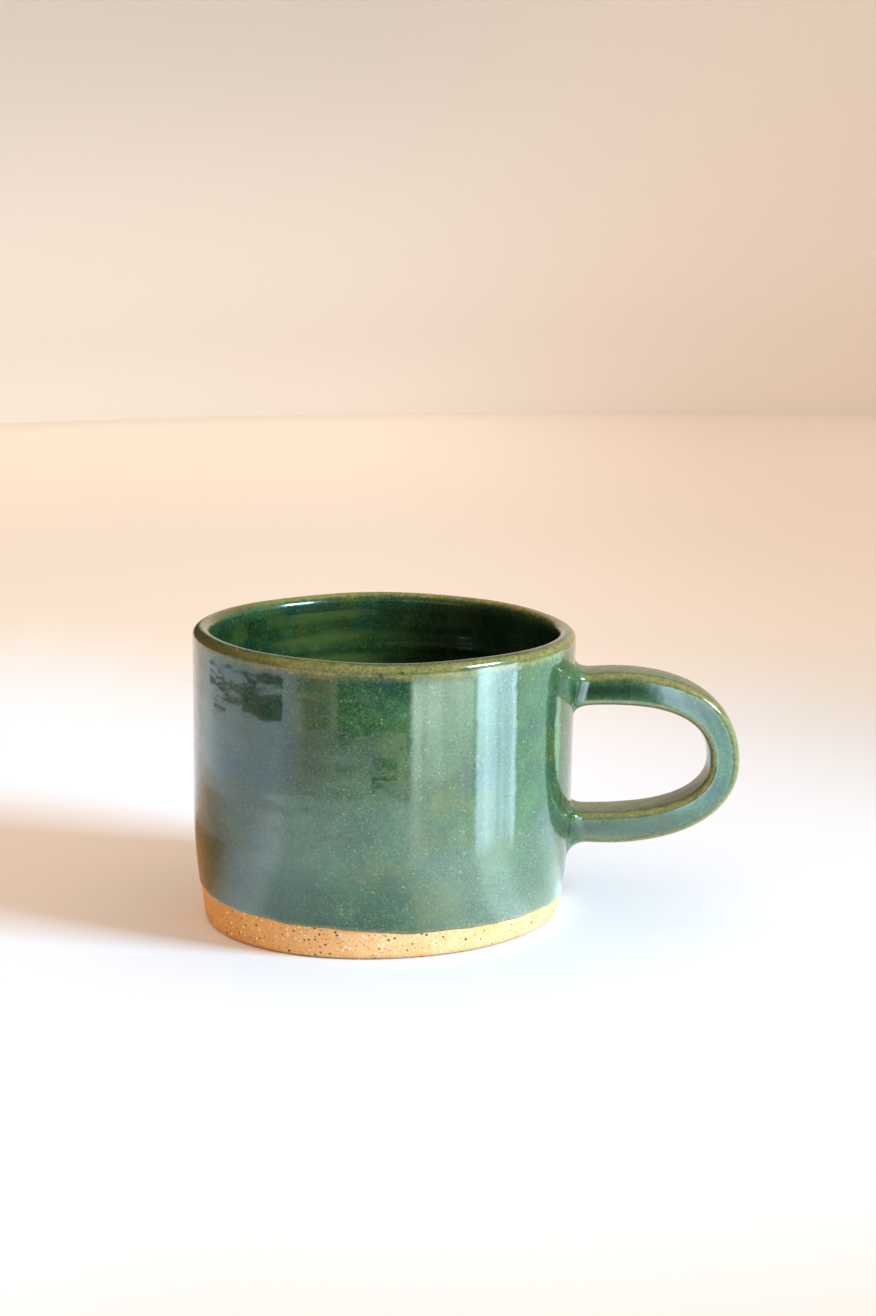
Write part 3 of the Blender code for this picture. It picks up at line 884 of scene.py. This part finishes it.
def table_sheen():
    """The over-bright table in front, as the gloss sees it; it fades out sideways and outwards.

    `near` is the table close to the mug and `far` a cooler patch further out on the left.
    """
    n = glow_material("table_sheen", (0.68, 0.88, 0.88), 1.0)
    azimuth, reach, _ = polar(n)
    left = n.math("MULTIPLY", n.ramp(azimuth, -138, -100), n.ramp(azimuth, -60, -40, 1.0, 0.0))
    near = n.math("MULTIPLY", n.ramp(azimuth, -96, -50), n.ramp(azimuth, 98, 112, 1.0, 0.0))
    reach_by_side = n.math("ADD", reach, n.ramp(azimuth, 5, 25, 0.0, 0.055))
    near = n.math("MULTIPLY", near, n.ramp(reach_by_side, 0.17, 0.25, 1.0, 0.0))
    far = n.math("MULTIPLY", left, n.ramp(reach, 0.17, 0.24))
    to_left = n.ramp(azimuth, -45, -65)
    close = n.mix(to_left, (0.68, 0.88, 0.88), (0.66, 0.80, 0.90))
    n.join(n.mix(far, close, (0.66, 0.81, 0.98)), n.shader.inputs["Emission Color"])
    show_through(n, n.math("MAXIMUM", near, far))
    left_glow = n.ramp(azimuth, -100, -40, 2.0, 3.0)
    left_glow = n.math("MULTIPLY", left_glow, n.ramp(reach, 0.055, 0.125, 0.6, 1.0))
    left_glow = n.math("MULTIPLY", left_glow, n.ramp(far, 0.0, 1.0, 1.0, 0.60))
    left_glow = n.math("MULTIPLY", left_glow, n.ramp(to_left, 0.0, 1.0, 1.0, 1.5))
    right_glow = n.math("MULTIPLY", n.ramp(azimuth, 0, 35, 0.0, 2.9), n.ramp(azimuth, 45, 88, 1.0, 0.1))
    strips = n.math("MULTIPLY", n.ramp(azimuth, 43, 49, 0.0, 1.7), n.ramp(azimuth, 58, 68, 1.0, 0.0))
    glow = n.math("ADD", left_glow, n.math("ADD", right_glow, strips))
    n.join(glow, n.shader.inputs["Emission Strength"])
    points, faces = fan(-140.0, 114.0, 48, np.linspace(0.050, 0.42, 14), 0.0004)
    make_card("table_sheen", points, faces, n.material)


def table_shade():
    """The mug's own shadow on the table, dim and brown as the gloss on the left sees it."""
    n = glow_material("table_shade", (0.50, 0.27, 0.12), 1.0)
    azimuth, reach, _ = polar(n)
    outer_edge = n.ramp(reach, 0.115, 0.148, 1.0, 0.0)
    show_through(n, n.math("MULTIPLY", n.ramp(azimuth, -86, -100), outer_edge))
    points, faces = fan(-138.0, -76.0, 16, (0.047, 0.09, 0.15), 0.0003)
    make_card("table_shade", points, faces, n.material)


COOL = (0.63, 0.87, 1.0)
DIM = (0.5, 0.7, 0.5)
# One upright card to a row, in the order of arc_card's arguments: name, azimuth, span, radius, low,
# high, strength, colour, soft, ragged, folds, foot, climb. All are painted reflections: the pale ones
# glow as a curtained window on the right would, the dark ones stand for the unlit room and its things.
ARC_CARDS = (
    # the window's painted reflection
    ("window_fold_a", 49.5, 11.0, 0.112, 0.0, 0.066, 13.0, COOL, 4.0, 0.0, 0.25, 0.012, 1.6),
    ("window_fold_b", 57.0, 25.5, 0.114, 0.0, 0.066, 9.5, COOL, 2.0, 0.0, 0.30, 0.012, 1.4),
    ("window_fold_c", 67.3, 3.6, 0.112, 0.0, 0.066, 11.0, COOL, 1.5, 0.0, 0.2, 0.012, 1.4),
    ("window_gap", 92.0, 44.0, 0.130, 0.0, 0.062, 2.9, (0.54, 0.85, 0.68), 4.0),
    ("pale_card", 24.2, 28.2, 0.070, 0.0142, 0.0662, 4.6, (0.82, 0.97, 0.88), 2.7, 0.0, 0.30, 0.010, 1.8),
    # dark sheets for the painted reflection in front
    ("dark_arm", 19.1, 15.8, 0.236, 0.0, 0.060, 0.05, DIM, 3.0),
    ("dark_card", -5.5, 49.0, 0.240, 0.0050, 0.034, 0.05, DIM, 7.0, 0.35, 0.0, 0.008),
    ("dim_card", -36.0, 22.0, 0.242, 0.006, 0.034, 0.7, (0.75, 0.75, 0.6), 7.0, 0.35),
    ("slot_a", -27.0, 6.0, 0.236, 0.008, 0.034, 1.2, (0.8, 0.75, 0.6), 1.5, 0.3),
    # dark sheets for the painted reflection on the left
    ("dark_patch_a", -70.0, 29.0, 0.234, 0.0165, 0.0290, 0.02, DIM, 1.5, 0.06),
    ("dark_patch_b", -99.0, 38.0, 0.233, 0.0215, 0.0285, 0.10, (0.5, 0.35, 0.2), 2.0, 0.06),
    ("dark_patch_c", -41.5, 13.0, 0.234, 0.0235, 0.0290, 0.40, DIM, 1.5, 0.25),
    ("dark_patch_d", -105.0, 14.0, 0.233, 0.0140, 0.0200, 0.05, DIM, 1.0, 0.2),
    ("dark_room", -112.0, 116.0, 0.300, 0.040, 0.400, 0.10, (0.6, 0.4, 0.3), 8.0, 0.0, 0.0, 0.030),
    ("dark_dash", 1.0, 13.0, 0.150, 0.0165, 0.0225, 0.02, DIM, 1.0, 0.12),
)


def make_lights():
    """One cool window lamp at the right, the cards that paint reflections in the gloss, and the room
    round them.
    """
    area_light("window_right", place=(1.69, -0.85, 0.86), aim=(0.0, 0.0, 0.03), width=0.66,
               height=0.58, power=98.0, colour=(0.51, 0.80, 1.0))
    for row in ARC_CARDS:
        arc_card(*row)
    table_sheen()
    table_shade()
    make_room()


def eased(tree, value, low, high, a, b):
    """A straight ramp of a world value, from a at low to b at high."""
    node = tree.nodes.new("ShaderNodeMapRange")
    node.inputs["From Min"].default_value = low
    node.inputs["From Max"].default_value = high
    node.inputs["To Min"].default_value = a
    node.inputs["To Max"].default_value = b
    tree.links.new(value, node.inputs["Value"])
    return node.outputs[0]


def make_room():
    """Warm even light from the room. The gloss sees it dim: brighter behind, darker left and above."""
    world = bpy.context.scene.world or bpy.data.worlds.new("studio")
    bpy.context.scene.world = world
    world.use_nodes = True
    tree = world.node_tree
    background = tree.nodes["Background"]
    background.inputs["Color"].default_value = (1.0, 0.68, 0.455, 1.0)
    background.inputs["Strength"].default_value = 1.08
    room = tree.nodes.new("ShaderNodeBackground")
    room.inputs["Color"].default_value = (0.30, 0.20, 0.13, 1.0)
    direction = tree.nodes.new("ShaderNodeTexCoord")
    split = tree.nodes.new("ShaderNodeSeparateXYZ")
    path = tree.nodes.new("ShaderNodeLightPath")
    blend = tree.nodes.new("ShaderNodeMixShader")
    tree.links.new(direction.outputs["Generated"], split.inputs[0])
    x, y, z = split.outputs
    strength = eased(tree, y, -0.1, 0.7, 0.6, 3.0)
    for dimmer in (eased(tree, x, -0.1, -0.8, 1.0, 0.35), eased(tree, z, 0.15, 0.7, 1.0, 0.35)):
        both = tree.nodes.new("ShaderNodeMath")
        both.operation = "MULTIPLY"
        tree.links.new(dimmer, both.inputs[0])
        tree.links.new(strength, both.inputs[1])
        strength = both.outputs[0]
    tree.links.new(strength, room.inputs["Strength"])
    tree.links.new(path.outputs["Is Glossy Ray"], blend.inputs[0])
    tree.links.new(background.outputs[0], blend.inputs[1])
    tree.links.new(room.outputs[0], blend.inputs[2])
    tree.links.new(blend.outputs[0], tree.nodes["World Output"].inputs["Surface"])


CAMERA_DISTANCE = 0.7926  # from the middle of the cup, in metres
CAMERA_LENS = 85.72  # millimetres, on a sensor 36 mm long
CAMERA_ELEVATION = 13.6  # this and the three below are in degrees
AIM_YAW = 1.132
AIM_PITCH = 1.998
CAMERA_ROLL = 0.725


def make_camera():
    """A long lens a little above the rim, aimed up and right of the cup, with a slight roll."""
    data = bpy.data.cameras.new("camera")
    data.lens = CAMERA_LENS
    data.sensor_width = 36.0
    camera = bpy.data.objects.new("camera", data)
    bpy.context.scene.collection.objects.link(camera)
    target = Vector((0.0, 0.0, HEIGHT / 2))
    tilt = math.radians(CAMERA_ELEVATION)
    camera.location = target + CAMERA_DISTANCE * Vector((0.0, -math.cos(tilt), math.sin(tilt)))
    ahead = (target - camera.location).normalized()
    side = ahead.cross(Vector((0.0, 0.0, 1.0))).normalized()
    turn = Matrix.Rotation(-math.radians(AIM_YAW), 3, "Z")
    ahead, side = turn @ ahead, turn @ side
    ahead = Matrix.Rotation(math.radians(AIM_PITCH), 3, side) @ ahead
    up = side.cross(ahead)
    roll = Matrix.Rotation(math.radians(CAMERA_ROLL), 3, ahead)
    side, up = roll @ side, roll @ up
    camera.rotation_mode = "QUATERNION"
    camera.rotation_quaternion = Matrix((side, up, -ahead)).transposed().to_quaternion()
    bpy.context.scene.camera = camera


# ---------------------------------------------------------------- putting it together

def fit(obj, material, slot, *nodes):
    """Gives the piece its material, hangs it on what it rides on, and hides the CAD nodes it stands for.
    """
    obj.data.materials.append(material)
    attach(obj, "root")
    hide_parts(*nodes)


def main():
    green = dict(deep=(0.006, 0.039, 0.015), body=(0.017, 0.080, 0.029), pale=(0.054, 0.150, 0.062))
    # Painted shade: a darker copy of the same green glaze, for the inside of the cup
    dark = dict(deep=(0.002, 0.012, 0.003), body=(0.008, 0.032, 0.008), pale=(0.022, 0.060, 0.016))
    # Painted light: a lighter copy of the same green glaze, for the handle, whose coat is half as strong
    bright = dict(deep=(0.010, 0.052, 0.020), body=(0.026, 0.104, 0.038), pale=(0.080, 0.190, 0.080))
    gold = (0.25, 0.235, 0.072)
    leaf = (0.052, 0.085, 0.020)
    warm_gold = (0.27, 0.235, 0.085)
    outer = glaze_material("outer_glaze", thin_colour=gold, **green)
    lip = glaze_material("lip_glaze", thin_colour=gold, coat_rough=0.15, **green)
    liner = glaze_material("liner_glaze", thin_colour=leaf, specks=0.25, hues=0.5,
                           grit=0.06, **dark)
    handle = glaze_material("handle_glaze", thin_colour=warm_gold, grit=0.16, coat=0.5,
                            **bright)
    fit(make_outer_coat(), outer, "green_glaze", "outer_glaze")
    fit(make_lip_coat(), lip, "lip_glaze", "lip_glaze")
    fit(make_liner_coat(), liner, "liner_glaze", "liner_glaze")
    fit(make_handle_coat(), handle, "handle_glaze",
        "handle_glaze", "handle_strap", "upper_joint", "lower_joint")
    fit(make_clay_foot(), clay_material("bare_clay"), "bare_clay", "clay_body")
    make_floor()
    make_lights()
    make_camera()
    bpy.context.scene.view_settings.view_transform = "Standard"


main()
